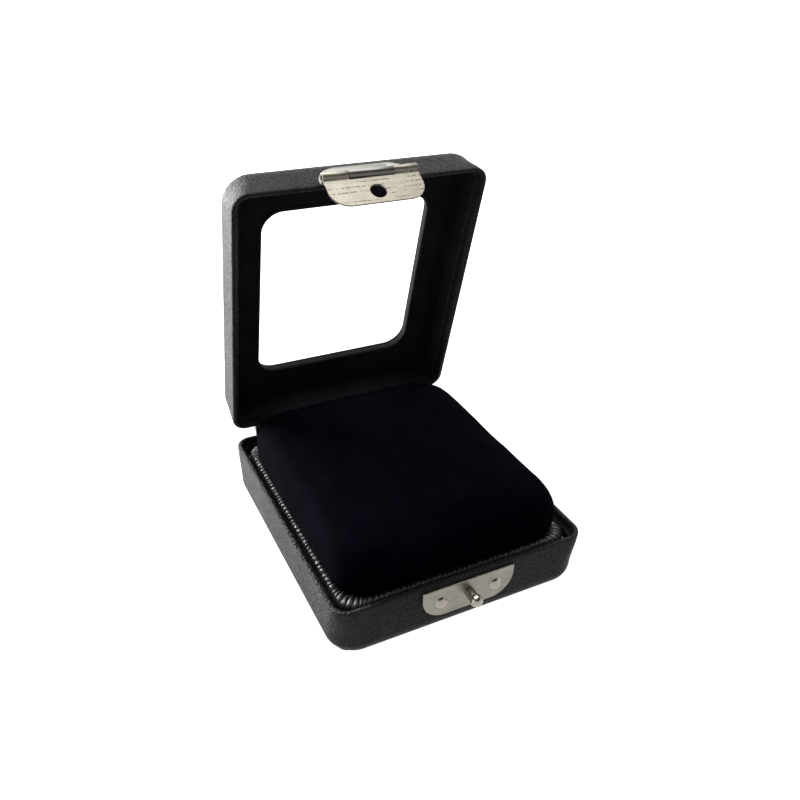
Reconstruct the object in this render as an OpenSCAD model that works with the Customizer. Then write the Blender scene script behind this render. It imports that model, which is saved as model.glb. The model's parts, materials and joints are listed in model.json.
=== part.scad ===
// A small presentation box with a window in its lid, a high velvet pad and a hasp clasp.
// Origin: centre of the base's underside. +X to the right, -Y the clasp side, +Z up.
// The lid is drawn open, at the angle where its hinge holds it.

/* [Case] */
// Outer width, left to right
case_w = 90; // [80:1:110]
// Outer depth, clasp side to hinge side
case_d = 102; // [90:1:120]
// Height of the base
base_h = 20.6; // [19.5:0.1:24]
// Height of the lid
lid_h = 16.4; // [16:0.1:20]
// Radius of the upright corners
corner_r = 8; // [7:0.5:12]
// Radius of the edges around the underside and the lid's top
edge_r = 6; // [5:0.5:7]
// Space between the two rims when the lid is shut
rim_gap = 0.2; // [0.1:0.05:0.4]

/* [Layers] */
// Thickness of the leatherette covering
skin = 0.6; // [0.5:0.1:0.8]
// Thickness of the moulded walls
wall = 2; // [1.6:0.1:2.4]
// Thickness of the fabric lining
lining = 0.4; // [0.3:0.1:0.6]
// How far the covering is turned down inside a rim
turn_in = 3; // [2:0.5:4]

/* [Window] */
// Margin from the case's side to the window
window_margin = 13.4; // [12:0.2:18]
// Margin from the case's front and back to the window
window_margin_y = 15.2; // [12:0.2:18]
// Corner radius of the window
window_r = 8; // [5:0.5:12]
// Thickness of the clear pane
pane_t = 0.8; // [0.5:0.1:0.8]
// Depth from the lid's rim to its lined ceiling
ceiling_depth = 12.9; // [12.5:0.1:13]

/* [Pad] */
// Gap from the inner wall to the pad's foot, filled by the pleated border
border_w = 3.8; // [3:0.2:5]
// Height of the pleated border's top above the underside
border_top = 19; // [18.5:0.1:19]
// Height of the pad's crown above the base's rim
pad_rise = 14.4; // [10:0.2:14.4]
// Radius of the pad's upright corners
pad_corner_r = 12; // [11:1:16]
// Radius of the pad's shoulder
pad_edge_r = 9; // [6:0.5:10]
// Radius of the slight dome of the pad's top
crown_r = 240; // [240:10:400]

/* [Hinge] */
// Angle at which the hinge holds the lid open
open_angle = 75.6; // [60:0.2:90]
// Length of the hinge barrel
hinge_len = 72; // [60:1:76]
// Number of knuckles in the hinge
hinge_knuckles = 5; // [3:2:7]
// Distance of the hinge's axis behind the case, and above the rims' meeting line
hinge_offset = 2.1; // [2:0.1:2.4]
// Outer radius of the hinge knuckles
hinge_knuckle_r = 1.6; // [1.5:0.05:1.7]
// Radius of the hinge pin
hinge_pin_r = 0.6; // [0.5:0.05:0.7]

/* [Clasp] */
// Width of the clasp's plates
clasp_w = 33; // [28:1:36]
// Distance of the clasp's pin in front of the case
hasp_out = 2.5; // [2.4:0.1:3]
// Height of the clasp's pin above the lid's rim
hasp_up = 0.4; // [0.2:0.1:0.8]
// Outer radius of the clasp's barrel
hasp_barrel_r = 1.6; // [1.5:0.05:1.7]
// Radius of the clasp's pin
hasp_pin_r = 0.7; // [0.6:0.05:0.8]
// Length of the flap from the pin's axis
flap_len = 12.2; // [11.6:0.1:12.6]
// How far the flap hangs inwards from the lid's wall while the lid is open
flap_tilt = 18; // [10:1:20]
// Radius of the flap's hole
flap_hole_r = 2.7; // [2.6:0.05:2.8]
// Distance from the pin's axis down to the stud when the lid is shut
stud_drop = 7.4; // [7:0.1:7.6]
// Radius of the stud's ball
stud_ball_r = 2.1; // [1.8:0.05:2.2]
// Radius of the stud's neck
stud_neck_r = 1.75; // [1.4:0.05:1.8]
// Distance of the ball's centre from the clasp plate
stud_reach = 4.5; // [4.2:0.1:5]

/* [Hidden] */
$fn = 48;

leatherette = [0.06, 0.06, 0.065];
board_grey = [0.35, 0.34, 0.33];
velvet = [0.02, 0.02, 0.03];
satin = [0.05, 0.05, 0.06];
nickel = [0.78, 0.75, 0.7];
lacquer = [0.09, 0.09, 0.09];
clear = [0.85, 0.9, 0.92, 0.4];

eps = 0.01;
shell_t = skin + wall;
inner_t = shell_t + lining;
// Clearance between the moulded board and the covering, where the glue lies
glue_line = 0.03;
core_t = skin + glue_line;
rim_z = base_h + rim_gap;
lid_top = rim_z + lid_h;
ceiling_z = rim_z + ceiling_depth;
ceiling_card = 0.5;

// The window, its trim and its pane
window_w = case_w - 2 * window_margin;
window_d = case_d - 2 * window_margin_y;
trim_t = 0.4;
trim_lip = 0.3;
pane_lap = 2;
pane_z = lid_top - skin - pane_t;

// The pad and what it stands on
board_t = 1.5;
board_z = 13.5;
riser_inset = 9;
riser_t = 2;
fit_gap = 0.3;
pad_foot_t = inner_t + border_w;
pad_body_t = 5;
pad_shoulder_z = 19.6;
cover_t = 0.6;
pad_top = base_h + pad_rise;

// The hinge
hinge_y = case_d / 2 + hinge_offset;
hinge_z = base_h + rim_gap / 2 + hinge_offset;
leaf_t = 0.6;
leaf_clear = 1.9;
hinge_leaf_h = 6;
tab_jog = 0.3;
tab_d = 0.9;
tab_lap = 0.5;
knuckle_len = hinge_len / hinge_knuckles;
knuckle_gap = 0.2;
bore_play = 0.05;
hinge_rivet_xs = [-30, -12, 12, 30];
hinge_head_r = 1.4;
hinge_head_h = 0.6;
hinge_shank_r = 0.7;
strip_x = 72;
strip_t = 0.5;

// The clasp
front_y = -case_d / 2;
hasp_y = front_y - hasp_out;
hasp_z = rim_z + hasp_up;
leaf_top_h = 8.6;
plate_top_gap = 2;
plate_h = 11.1;
plate_r = 8.2;
flap_t = 0.6;
flap_corner_r = 6.4;
flap_hole_s = stud_drop + 0.2;
hasp_mid_w = 15.4;
hasp_gap = 0.1;
stud_z = hasp_z - stud_drop;
clasp_rivet_x = 9.85;
clasp_rivet_z = base_h - 7.8;
clasp_head_r = 2.3;
clasp_head_h = 1.1;
clasp_shank_r = 0.9;
hasp_rivet_z = hasp_z + 5.4;
hasp_head_r = 1.5;
hasp_head_h = 0.3;
stud_shank_r = 1.1;
tail_back = 0.2;

// ---- plan shapes and rounded blocks -------------------------------------------------------

// A rectangle with round corners, centred
module round_rect(w, d, r) {
    square([w - 2 * r, d], center = true);
    square([w, d - 2 * r], center = true);
    for (x = [-1, 1], y = [-1, 1])
        translate([x * (w / 2 - r), y * (d / 2 - r)]) circle(r = r);
}

// The case's outline, set in by t
module case_plan(t) {
    round_rect(case_w - 2 * t, case_d - 2 * t, corner_r - t);
}

// A ring between two set-ins of the case's outline, from z0 to z1
module case_ring(t0, t1, z0, z1) {
    translate([0, 0, z0])
        linear_extrude(z1 - z0)
            difference() {
                case_plan(t0);
                case_plan(t1);
            }
}

// A side view of a block of width w and height h whose two lower corners are round
module tub_side(w, h, e) {
    translate([-w / 2, e]) square([w, h - e]);
    translate([-w / 2 + e, 0]) square([w - 2 * e, e + eps]);
    for (x = [-1, 1])
        translate([x * (w / 2 - e), e]) circle(r = e);
}

// A block on z = 0 with round upright corners r and round lower edges e
module tub(w, d, h, r, e) {
    intersection() {
        linear_extrude(h) round_rect(w, d, r);
        translate([0, d / 2 + 1, 0]) rotate([90, 0, 0]) linear_extrude(d + 2) tub_side(w, h, e);
        translate([-w / 2 - 1, 0, 0])
            rotate([90, 0, 90]) linear_extrude(w + 2) tub_side(d, h, e);
    }
}

// The case's outer body set in by t, from z = t up to z = top
module case_tub(t, top) {
    translate([0, 0, t])
        tub(case_w - 2 * t, case_d - 2 * t, top - t, corner_r - t, edge_r - t);
}

// The window's opening, widened by g, cut from z0 to z1
module window_cut(g, z0, z1) {
    translate([0, 0, z0])
        linear_extrude(z1 - z0) round_rect(window_w + 2 * g, window_d + 2 * g, window_r + g);
}

// ---- placing ------------------------------------------------------------------------------

// Puts what is drawn in the shut position into the lid's open position
module opened() {
    translate([0, hinge_y, hinge_z])
        rotate([-open_angle, 0, 0])
            translate([0, -hinge_y, -hinge_z]) children();
}

// Puts what is drawn along the clasp's latched position where the flap hangs
module hanging() {
    opened()
        translate([0, hasp_y, hasp_z]) rotate([flap_tilt, 0, 0]) children();
}

// Turns a lid drawn as a tub over, so that its rim is at rim_z
module turned_over() {
    translate([0, 0, lid_top]) mirror([0, 0, 1]) children();
}

// A cylinder along X, centred on x
module rod_x(r, len, x = 0) {
    translate([x - len / 2, 0, 0]) rotate([0, 90, 0]) cylinder(r = r, h = len);
}

// A cylinder that runs along +Y from y0 for len
module rod_y(r, len, x, y0, z) {
    translate([x, y0 + len, z]) rotate([90, 0, 0]) cylinder(r = r, h = len);
}

// A low domed rivet head on the XY plane, rising along +Z
module rivet_head(r, h) {
    dome_r = (r * r + h * h) / (2 * h);
    intersection() {
        translate([0, 0, h - dome_r]) sphere(r = dome_r);
        cylinder(r = r, h = h);
    }
}

// ---- base ---------------------------------------------------------------------------------

// Holes through the front wall for the clasp plate's rivets and stud
module clasp_holes(play) {
    depth = shell_t + leaf_t + 1;
    for (x = [-1, 1])
        rod_y(clasp_shank_r + play, depth, x * clasp_rivet_x, front_y - leaf_t - eps, clasp_rivet_z);
    rod_y(stud_shank_r + play, depth, 0, front_y - leaf_t - eps, stud_z);
}

// Holes through the back wall for the hinge's rivets at height z
module hinge_holes(z, play) {
    for (x = hinge_rivet_xs)
        rod_y(hinge_shank_r + play, shell_t + leaf_t + 1, x, case_d / 2 - shell_t - 0.5, z);
}

hinge_rivet_z_base = base_h - tab_lap - hinge_leaf_h / 2;
hinge_rivet_z_lid = hinge_z + leaf_clear + hinge_leaf_h / 2;

module base_shell() {
    color(board_grey)
        difference() {
            case_tub(core_t, base_h - skin);
            case_tub(shell_t, base_h + 1);
            clasp_holes(bore_play);
            hinge_holes(hinge_rivet_z_base, bore_play);
        }
}

module base_wrap() {
    color(leatherette)
        difference() {
            union() {
                difference() {
                    case_tub(0, base_h);
                    case_tub(skin, base_h + 1);
                }
                case_ring(skin - eps, inner_t, base_h - skin, base_h);
                case_ring(shell_t, inner_t, base_h - turn_in, base_h - skin + eps);
            }
            clasp_holes(bore_play);
            hinge_holes(hinge_rivet_z_base, bore_play);
        }
}

module base_lining() {
    color(velvet) case_ring(shell_t, inner_t, edge_r, base_h - turn_in);
}

module pad_riser() {
    riser_plan_w = case_w - 2 * riser_inset;
    riser_plan_d = case_d - 2 * riser_inset;
    color(board_grey)
        translate([0, 0, shell_t])
            linear_extrude(board_z - shell_t)
                difference() {
                    square([riser_plan_w, riser_plan_d], center = true);
                    square([riser_plan_w - 2 * riser_t, riser_plan_d - 2 * riser_t], center = true);
                }
}

module pad_board() {
    color(board_grey) translate([0, 0, board_z]) linear_extrude(board_t) case_plan(inner_t + fit_gap);
}

// The pad's outer form set in by t: a narrow foot inside the border, a wider body over it
module pad_form(t) {
    foot_w = case_w - 2 * (pad_foot_t + t);
    foot_d = case_d - 2 * (pad_foot_t + t);
    body_w = case_w - 2 * (pad_body_t + t);
    body_d = case_d - 2 * (pad_body_t + t);
    translate([0, 0, board_z + board_t])
        linear_extrude(pad_shoulder_z - board_z - board_t + 2 * t + eps)
            round_rect(foot_w, foot_d, pad_corner_r - 3 - t);
    intersection() {
        translate([0, 0, pad_top - t])
            mirror([0, 0, 1])
                tub(body_w, body_d, pad_top - pad_shoulder_z - 2 * t, pad_corner_r - t, pad_edge_r - t);
        translate([0, 0, pad_top - t - crown_r]) sphere(r = crown_r, $fn = 96);
    }
}

module pad_foam() {
    color([0.5, 0.5, 0.48]) pad_form(cover_t);
}

module velvet_pad() {
    color(velvet)
        difference() {
            pad_form(0);
            pad_form(cover_t);
        }
}

module pleated_border() {
    color(satin)
        translate([0, 0, board_z + board_t])
            linear_extrude(border_top - board_z - board_t)
                difference() {
                    case_plan(inner_t + fit_gap);
                    round_rect(
                        case_w - 2 * pad_foot_t + 0.2,
                        case_d - 2 * pad_foot_t + 0.2,
                        pad_corner_r - 3 + 0.1
                    );
                }
}

// ---- clasp on the base --------------------------------------------------------------------

// A plate of width w and height h with two large lower corners of radius r, top edge at y = 0
module shield(w, h, r) {
    intersection() {
        union() {
            translate([-w / 2, -(h - r)]) square([w, h - r]);
            translate([-w / 2 + r, -h]) square([w - 2 * r, h]);
            for (x = [-1, 1])
                translate([x * (w / 2 - r), -(h - r)]) circle(r = r);
        }
        translate([-w / 2, -h]) square([w, h]);
    }
}

module clasp_plate() {
    color(nickel)
        difference() {
            translate([0, front_y, base_h - plate_top_gap])
                rotate([90, 0, 0]) linear_extrude(leaf_t) shield(clasp_w, plate_h, plate_r);
            clasp_holes(bore_play);
        }
}

module clasp_rivets() {
    color(nickel)
        for (x = [-1, 1]) {
            translate([x * clasp_rivet_x, front_y - leaf_t, clasp_rivet_z])
                rotate([90, 0, 0]) rivet_head(clasp_head_r, clasp_head_h);
            rod_y(
                clasp_shank_r, shell_t + leaf_t - tail_back, x * clasp_rivet_x,
                front_y - leaf_t - eps, clasp_rivet_z
            );
        }
}

module clasp_stud() {
    color(nickel) {
        translate([0, front_y - leaf_t - stud_reach, stud_z]) sphere(r = stud_ball_r);
        rod_y(stud_neck_r, stud_reach, 0, front_y - leaf_t - stud_reach, stud_z);
        rod_y(stud_shank_r, shell_t + leaf_t - tail_back, 0, front_y - leaf_t - eps, stud_z);
    }
}

// ---- hinge --------------------------------------------------------------------------------

// Knuckles first, first + 2, ... of the hinge with their tabs. dir is 1 for tabs that rise to the
// lid and -1 for tabs that drop to the base
module knuckles(first, dir) {
    drop = leaf_clear + tab_lap;
    for (i = [first : 2 : hinge_knuckles - 1]) {
        x = (i + 0.5) * knuckle_len - hinge_len / 2;
        len = knuckle_len - knuckle_gap;
        translate([x, hinge_y, hinge_z]) rod_x(hinge_knuckle_r, len);
        translate([x - len / 2, case_d / 2 + tab_jog, dir > 0 ? hinge_z : hinge_z - drop])
            cube([len, tab_d, drop]);
    }
}

// A hinge leaf on the back wall from z0, with rivet holes and the knuckles from first
module hinge_leaf(z0, first, dir, rivet_z) {
    difference() {
        union() {
            translate([-hinge_len / 2, case_d / 2, z0]) cube([hinge_len, leaf_t, hinge_leaf_h]);
            knuckles(first, dir);
        }
        translate([0, hinge_y, hinge_z]) rod_x(hinge_pin_r + bore_play, hinge_len + 2);
        hinge_holes(rivet_z, bore_play);
    }
}

// The hinge's rivets at height z
module hinge_rivets(z) {
    for (x = hinge_rivet_xs) {
        translate([x, case_d / 2 + leaf_t, z])
            rotate([-90, 0, 0]) rivet_head(hinge_head_r, hinge_head_h);
        rod_y(
            hinge_shank_r, shell_t + leaf_t - tail_back + eps, x,
            case_d / 2 - shell_t + tail_back, z
        );
    }
}

module hinge_leaf_base() {
    color(lacquer)
        hinge_leaf(hinge_z - leaf_clear - hinge_leaf_h, 0, -1, hinge_rivet_z_base);
}

module hinge_rivets_base() {
    color(lacquer) hinge_rivets(hinge_rivet_z_base);
}

module hinge_pin() {
    color(lacquer) translate([0, hinge_y, hinge_z]) rod_x(hinge_pin_r, hinge_len - knuckle_gap);
}

module hinge_leaf_lid() {
    color(lacquer)
        opened() hinge_leaf(hinge_z + leaf_clear, 1, 1, hinge_rivet_z_lid);
}

module hinge_rivets_lid() {
    color(lacquer) opened() hinge_rivets(hinge_rivet_z_lid);
}

// A point [y, z] of the shut lid, moved to the open lid
function open_point(p) = [
    hinge_y + (p[0] - hinge_y) * cos(open_angle) + (p[1] - hinge_z) * sin(open_angle),
    hinge_z - (p[0] - hinge_y) * sin(open_angle) + (p[1] - hinge_z) * cos(open_angle)
];

// The flexible strip over the hinge, from the base's inner wall to the lid's
module hinge_strip() {
    inner_y = case_d / 2 - inner_t;
    near = 0.15;
    far = near + strip_t;
    color(leatherette)
        translate([-strip_x / 2, 0, 0])
            rotate([90, 0, 90])
                linear_extrude(strip_x)
                    polygon([
                        [inner_y - near, border_top + fit_gap],
                        [inner_y - near, base_h + 0.3],
                        open_point([inner_y - near, rim_z - 0.3]),
                        open_point([inner_y - near, rim_z + turn_in]),
                        open_point([inner_y - far, rim_z + turn_in]),
                        open_point([inner_y - far, rim_z - 0.5]),
                        [inner_y - far, base_h + 0.5],
                        [inner_y - far, border_top + fit_gap]
                    ]);
}

// ---- lid ----------------------------------------------------------------------------------

// Holes through the lid's front wall for the hasp's rivets
module hasp_holes(play) {
    for (x = [-1, 1])
        rod_y(
            clasp_shank_r + play, shell_t + leaf_t + 1, x * clasp_rivet_x,
            front_y - leaf_t - eps, hasp_rivet_z
        );
}

module lid_shell() {
    color(board_grey)
        opened()
            difference() {
                turned_over() case_tub(core_t, lid_h - skin);
                translate([0, 0, rim_z - 1])
                    linear_extrude(ceiling_z + ceiling_card - rim_z + 1) case_plan(shell_t);
                window_cut(trim_t, rim_z, lid_top);
                window_cut(pane_lap, pane_z, lid_top);
                hasp_holes(bore_play);
                hinge_holes(hinge_rivet_z_lid, bore_play);
            }
}

module lid_wrap() {
    color(leatherette)
        opened()
            difference() {
                union() {
                    difference() {
                        turned_over() case_tub(0, lid_h);
                        turned_over() case_tub(skin, lid_h + 1);
                    }
                    case_ring(skin - eps, inner_t, rim_z, rim_z + skin);
                    case_ring(shell_t, inner_t, rim_z + skin - eps, rim_z + turn_in);
                }
                window_cut(0, ceiling_z, lid_top + 1);
                hasp_holes(bore_play);
                hinge_holes(hinge_rivet_z_lid, bore_play);
            }
}

module lid_wall_lining() {
    color(velvet) opened() case_ring(shell_t, inner_t, rim_z + turn_in, ceiling_z);
}

module lid_ceiling_lining() {
    color(velvet)
        opened()
            difference() {
                translate([0, 0, ceiling_z]) linear_extrude(ceiling_card) case_plan(shell_t);
                window_cut(trim_t, ceiling_z - 1, ceiling_z + 1);
            }
}

module window_trim() {
    color(satin)
        opened()
            difference() {
                window_cut(trim_t, ceiling_z - trim_lip, pane_z);
                window_cut(0, ceiling_z - 1, pane_z + 1);
            }
}

module window_pane() {
    color(clear) opened() window_cut(pane_lap, pane_z, pane_z + pane_t);
}

// ---- hasp on the lid ----------------------------------------------------------------------

module hasp_leaf() {
    tab_h = 2;
    color(nickel)
        opened()
            difference() {
                union() {
                    translate([0, front_y, hasp_z])
                        rotate([90, 0, 0])
                            mirror([0, 1, 0]) linear_extrude(leaf_t) shield(clasp_w, leaf_top_h, plate_r);
                    translate([0, hasp_y, hasp_z]) rod_x(hasp_barrel_r, hasp_mid_w);
                    translate([-hasp_mid_w / 2, hasp_y, hasp_z])
                        cube([hasp_mid_w, hasp_out - eps, tab_h / 2]);
                }
                translate([0, hasp_y, hasp_z]) rod_x(hasp_pin_r + bore_play, clasp_w + 2);
                hasp_holes(bore_play);
            }
}

module hasp_rivets() {
    color(nickel)
        opened()
            for (x = [-1, 1]) {
                translate([x * clasp_rivet_x, front_y - leaf_t, hasp_rivet_z])
                    rotate([90, 0, 0]) rivet_head(hasp_head_r, hasp_head_h);
                rod_y(
                    clasp_shank_r, shell_t + leaf_t - tail_back, x * clasp_rivet_x,
                    front_y - leaf_t - eps, hasp_rivet_z
                );
            }
}

module hasp_pin() {
    color(nickel) hanging() rod_x(hasp_pin_r, clasp_w - 0.2);
}

module hasp_flap() {
    side_w = clasp_w / 2 - hasp_mid_w / 2 - hasp_gap;
    side_x = clasp_w / 2 - side_w / 2;
    color(nickel)
        hanging()
            difference() {
                union() {
                    difference() {
                        translate([0, flap_t / 2, 0])
                            rotate([90, 0, 0])
                                linear_extrude(flap_t) shield(clasp_w, flap_len, flap_corner_r);
                        rod_x(leaf_clear, hasp_mid_w + 2 * hasp_gap);
                    }
                    for (x = [-1, 1]) rod_x(hasp_barrel_r, side_w, x * side_x);
                }
                rod_x(hasp_pin_r + bore_play, clasp_w + 2);
                rod_y(flap_hole_r, 4, 0, -2, -flap_hole_s);
            }
}

base_shell();
base_wrap();
base_lining();
pad_riser();
pad_board();
pad_foam();
velvet_pad();
pleated_border();
clasp_plate();
clasp_rivets();
clasp_stud();
hinge_leaf_base();
hinge_rivets_base();
hinge_pin();
hinge_strip();
lid_shell();
lid_wrap();
lid_wall_lining();
lid_ceiling_lining();
window_trim();
window_pane();
hinge_leaf_lid();
hinge_rivets_lid();
hasp_leaf();
hasp_rivets();
hasp_pin();
hasp_flap();
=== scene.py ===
"""Looks of a small black jewelry box: leatherette case, windowed lid, velvet pad, hasp clasp.

Sizes in the dataclasses are millimetres, in the box's own frame: the origin is the centre of
the underside, +X is right, -Y is the clasp side and +Z is up. Lid pieces are drawn shut and
then turned about the hinge into the open rest position.
"""

import json
import logging
import math
from dataclasses import dataclass
from enum import Enum
from typing import Optional, Sequence, Union

import bmesh
import bpy
import numpy as np
from mathutils import Matrix, Vector


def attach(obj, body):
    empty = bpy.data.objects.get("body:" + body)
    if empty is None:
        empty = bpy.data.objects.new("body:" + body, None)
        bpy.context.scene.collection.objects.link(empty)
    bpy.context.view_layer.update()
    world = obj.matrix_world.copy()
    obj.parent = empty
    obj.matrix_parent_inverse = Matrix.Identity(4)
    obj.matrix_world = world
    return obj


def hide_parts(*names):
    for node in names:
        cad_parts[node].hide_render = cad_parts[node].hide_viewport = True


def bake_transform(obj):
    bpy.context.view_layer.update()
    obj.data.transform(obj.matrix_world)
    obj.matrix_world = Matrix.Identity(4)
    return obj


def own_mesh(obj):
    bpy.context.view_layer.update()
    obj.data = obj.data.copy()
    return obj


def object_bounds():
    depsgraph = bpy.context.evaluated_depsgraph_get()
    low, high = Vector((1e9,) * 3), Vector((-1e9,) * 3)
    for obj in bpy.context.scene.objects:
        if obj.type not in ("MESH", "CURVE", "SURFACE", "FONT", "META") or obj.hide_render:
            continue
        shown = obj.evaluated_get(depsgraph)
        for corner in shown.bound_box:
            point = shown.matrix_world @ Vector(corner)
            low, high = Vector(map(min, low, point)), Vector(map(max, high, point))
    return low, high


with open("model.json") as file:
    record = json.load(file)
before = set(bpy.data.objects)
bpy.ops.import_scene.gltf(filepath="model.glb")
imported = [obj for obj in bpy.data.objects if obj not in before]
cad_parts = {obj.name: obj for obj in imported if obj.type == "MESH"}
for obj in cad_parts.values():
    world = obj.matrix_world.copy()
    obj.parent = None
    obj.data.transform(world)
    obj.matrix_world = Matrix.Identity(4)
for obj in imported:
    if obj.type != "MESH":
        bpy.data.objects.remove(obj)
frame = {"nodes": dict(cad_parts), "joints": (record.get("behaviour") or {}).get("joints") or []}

LOG = logging.getLogger("jewelry_box")
MM = 0.001
CAD_LOW, CAD_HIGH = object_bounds()

Points = np.ndarray
Faces = list[list[int]]
Shape = tuple[Points, Faces]
Row = tuple[float, float, Optional[float]]
Profile = tuple[tuple[float, float], ...]
Colour = tuple[float, float, float]


class Body(Enum):
    """The bodies that the pieces made here ride on, which are also the case's two halves."""

    BASE = "base"
    LID = "lid"


# ---- shader maths --------------------------------------------------------------------------

Value = Union["Sock", float]


class Sock:
    """One value in a shader graph, whose operators add Math nodes."""

    def __init__(self, graph: "Graph", link: bpy.types.NodeSocket) -> None:
        """Keeps the graph and the socket.

        Args:
            graph: The graph that the socket belongs to.
            link: The output socket that carries the value.
        """
        self.graph = graph
        self.link = link

    def maths(self, kind: str, *values: Value) -> "Sock":
        """Adds one Math node.

        Args:
            kind: The Math node's operation.
            values: Its inputs, in order.

        Returns:
            The node's result.
        """
        return self.graph.node("ShaderNodeMath", {"operation": kind}, dict(enumerate(values)))

    def __add__(self, other: Value) -> "Sock":
        """Sum."""
        return self.maths("ADD", self, other)

    def __radd__(self, other: Value) -> "Sock":
        """Sum, with the number first."""
        return self.maths("ADD", other, self)

    def __sub__(self, other: Value) -> "Sock":
        """Difference."""
        return self.maths("SUBTRACT", self, other)

    def __rsub__(self, other: Value) -> "Sock":
        """Difference, with the number first."""
        return self.maths("SUBTRACT", other, self)

    def __mul__(self, other: Value) -> "Sock":
        """Product."""
        return self.maths("MULTIPLY", self, other)

    def __rmul__(self, other: Value) -> "Sock":
        """Product, with the number first."""
        return self.maths("MULTIPLY", other, self)

    def sine(self) -> "Sock":
        """Sine of the value in radians."""
        return self.maths("SINE", self)

    def step(self, low: float, high: float) -> "Sock":
        """Smooth step from 0 at low to 1 at high.

        Args:
            low: Where the step starts.
            high: Where it ends.

        Returns:
            The stepped value.
        """
        settings = {"interpolation_type": "SMOOTHSTEP"}
        values = {"Value": self, "From Min": low, "From Max": high}
        return self.graph.node("ShaderNodeMapRange", settings, values)


class Graph:
    """A node tree, and the one method that adds nodes to it."""

    def __init__(self, tree: bpy.types.NodeTree) -> None:
        """Keeps the tree."""
        self.tree = tree

    def feed(self, node: bpy.types.Node, values: dict) -> None:
        """Sets or links a node's inputs.

        Args:
            node: The node.
            values: A value, vector or Sock for each input name or index.
        """
        for key, value in values.items():
            socket = node.inputs[key]
            if isinstance(value, Sock):
                self.tree.links.new(value.link, socket)
            elif isinstance(value, (tuple, list, Vector)) and socket.type == "RGBA":
                socket.default_value = (*value[:3], 1.0)
            else:
                socket.default_value = value

    def node(
        self, kind: str, settings: dict, values: dict, output: Union[int, str] = 0
    ) -> Sock:
        """Adds any node.

        Args:
            kind: The node's type.
            settings: Its properties, set before its inputs.
            values: Its inputs.
            output: Which output to use.

        Returns:
            That output.
        """
        made = self.tree.nodes.new(kind)
        for key, value in settings.items():
            setattr(made, key, value)
        self.feed(made, values)
        return Sock(self, made.outputs[output])

    def dot(self, place: Sock, direction: Sequence[float]) -> Sock:
        """How far a point lies along a direction.

        Args:
            place: The point.
            direction: The direction.

        Returns:
            Their dot product.
        """
        settings = {"operation": "DOT_PRODUCT"}
        values = {0: place, 1: tuple(direction)}
        return self.node("ShaderNodeVectorMath", settings, values, "Value")


class Recipe(Graph):
    """A material under construction: a graph that ends in one Principled surface."""

    FIRST_COLOUR = 6
    SECOND_COLOUR = 7
    MIXED_COLOUR = 2

    def __init__(self, name: str) -> None:
        """Starts an empty node material.

        Args:
            name: The material's name.
        """
        self.material = bpy.data.materials.new(name)
        self.material.use_nodes = True
        super().__init__(self.material.node_tree)
        self.tree.nodes.clear()
        output = self.tree.nodes.new("ShaderNodeOutputMaterial")
        self.shader = self.tree.nodes.new("ShaderNodeBsdfPrincipled")
        self.tree.links.new(self.shader.outputs["BSDF"], output.inputs["Surface"])

    def place(self) -> Sock:
        """The point on the object, in metres."""
        return self.node("ShaderNodeTexCoord", {}, {}, "Object")

    def along(self, direction: Sequence[float]) -> Sock:
        """Distance of the point along a unit direction, in metres."""
        return self.dot(self.place(), direction)

    def stretched(self, scale: Sequence[float]) -> Sock:
        """The place, scaled by axis.

        Args:
            scale: A factor for each axis.

        Returns:
            The scaled vector.
        """
        values = {0: self.place(), 1: tuple(scale)}
        return self.node("ShaderNodeVectorMath", {"operation": "MULTIPLY"}, values)

    def noise(self, pitch: float, detail: float = 2.0, at: Optional[Sock] = None) -> Sock:
        """Soft noise.

        Args:
            pitch: The size of one blotch, in millimetres.
            detail: How many finer layers lie on it.
            at: The place to read, or None for the object's own.

        Returns:
            A value from 0 to 1.
        """
        values = {"Vector": at or self.place(), "Scale": 1 / (pitch * MM), "Detail": detail}
        return self.node("ShaderNodeTexNoise", {}, values, 0)

    def cells(self, pitch: float, feature: str = "F1") -> Sock:
        """Distance in a cell pattern.

        Args:
            pitch: The size of a cell, in millimetres.
            feature: The Voronoi feature.

        Returns:
            The distance, in cells.
        """
        values = {"Vector": self.place(), "Scale": 1 / (pitch * MM)}
        return self.node("ShaderNodeTexVoronoi", {"feature": feature}, values, "Distance")

    def tint(self, factor: Value, low: Colour, high: Colour) -> Sock:
        """A colour between two.

        Args:
            factor: 0 for the first and 1 for the second.
            low: The first colour.
            high: The second colour.

        Returns:
            The mixed colour.
        """
        values = {0: factor, self.FIRST_COLOUR: low, self.SECOND_COLOUR: high}
        return self.node("ShaderNodeMix", {"data_type": "RGBA"}, values, self.MIXED_COLOUR)

    def bump(self, height: Sock, depth: float, under: Optional[Sock] = None) -> Sock:
        """A bumped normal.

        Args:
            height: The height, from 0 to 1.
            depth: How far 1 stands above 0, in millimetres.
            under: A bump that lies under this one.

        Returns:
            The normal.
        """
        values: dict = {"Height": height, "Distance": depth * MM, "Strength": 1.0}
        if under:
            values["Normal"] = under
        return self.node("ShaderNodeBump", {}, values)

    def surface(self, **values: object) -> bpy.types.Material:
        """Feeds the Principled surface and hands back the material.

        Args:
            values: Inputs of the surface, with _ for a space.

        Returns:
            The finished material.
        """
        self.feed(self.shader, {key.replace("_", " "): v for key, v in values.items()})
        return self.material


# ---- finishes ------------------------------------------------------------------------------


@dataclass(frozen=True)
class Finish:
    """A finish, made once and shared by the pieces that have it."""

    name: str

    def build(self) -> bpy.types.Material:
        """Makes the material."""
        raise NotImplementedError

    def material(self) -> bpy.types.Material:
        """The finish's material, made on first use."""
        return bpy.data.materials.get(self.name) or self.build()


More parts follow.
